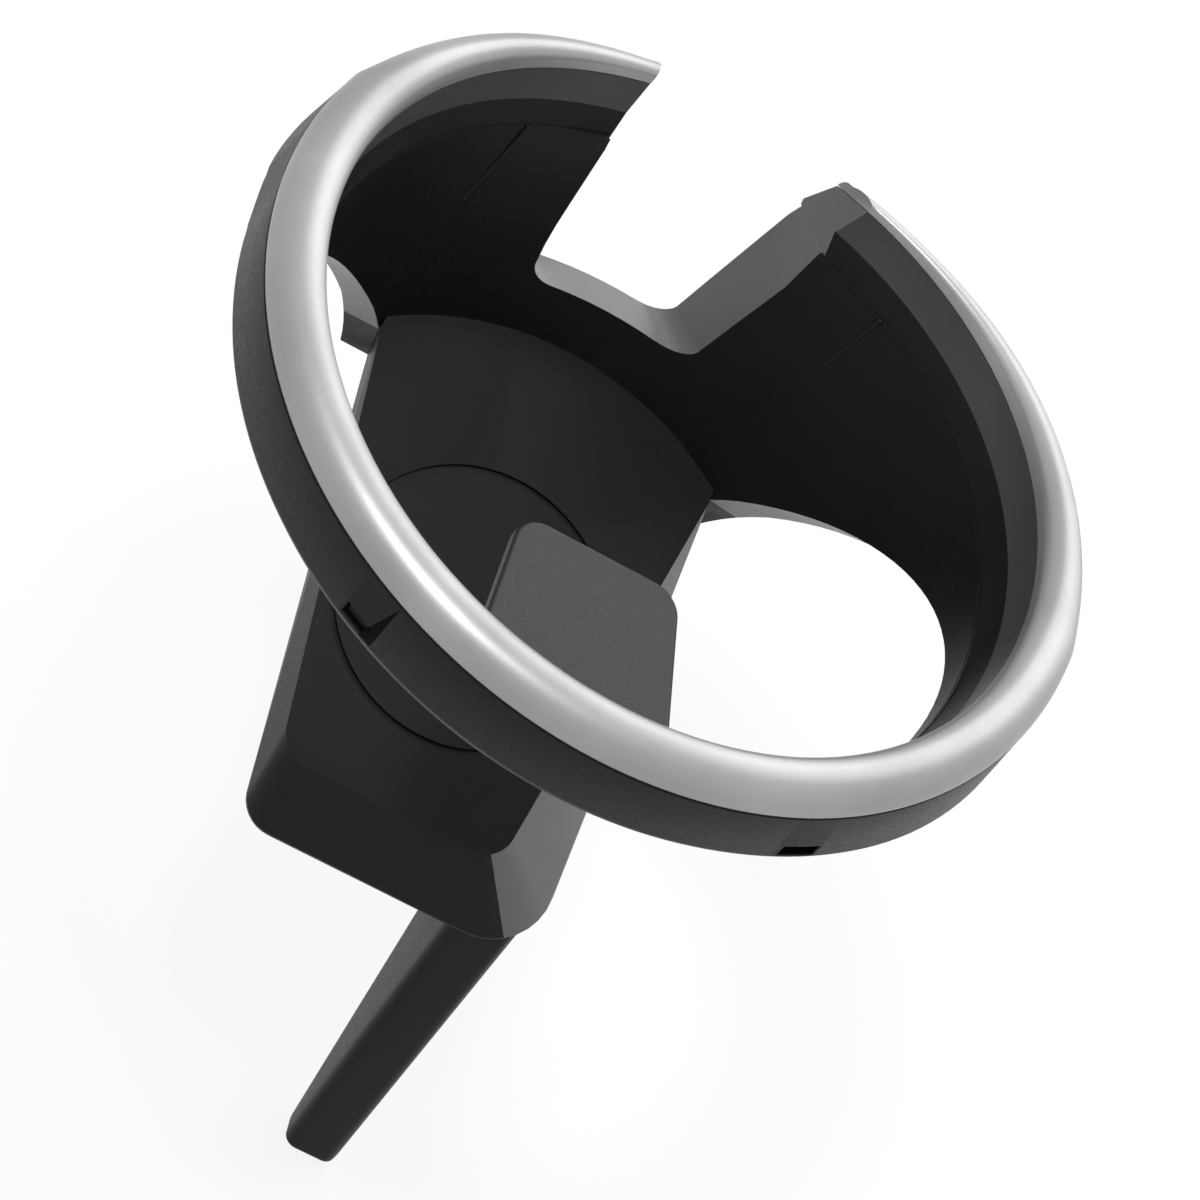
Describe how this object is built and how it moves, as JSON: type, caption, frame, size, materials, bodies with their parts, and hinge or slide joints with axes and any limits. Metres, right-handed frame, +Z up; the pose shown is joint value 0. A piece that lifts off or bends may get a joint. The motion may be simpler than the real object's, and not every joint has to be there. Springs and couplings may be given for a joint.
{
  "type": "car cup holder",
  "caption": "Removable car cup holder with a notched wall, a satin silver ring trim, a sprung cup-retaining flap and a console tongue.",
  "frame": {"origin": "centre of the ring, on the plane where the bezel meets the collar", "axes": "+Z up along the ring's axis, -Y to the front, where the flap is hinged, +X to the right, the side of the tongue"},
  "size_m": [0.094, 0.0902, 0.1154],
  "materials": {
    "black_plastic": "fine grain",
    "satin_silver": "satin",
    "flap_plastic": "smooth satin",
    "steel": "drawn wire"
  },
  "bodies": {
    "holder": {"holder_body": "black_plastic", "bezel": "satin_silver", "flap_pin": "steel", "spring_left": "steel", "spring_right": "steel"},
    "flap": {"flap": "flap_plastic"}
  },
  "joints": [
    {"name": "flap_hinge", "type": "hinge", "parent": "holder", "child": "flap", "pos_m": [0, -0.037, -0.0096], "axis": [-1, 0, 0], "range_deg": [0, 80], "stiffness_Nm_per_rad": 0.03, "springref_deg": -28.65, "deforming": ["spring_left", "spring_right"]}
  ]
}
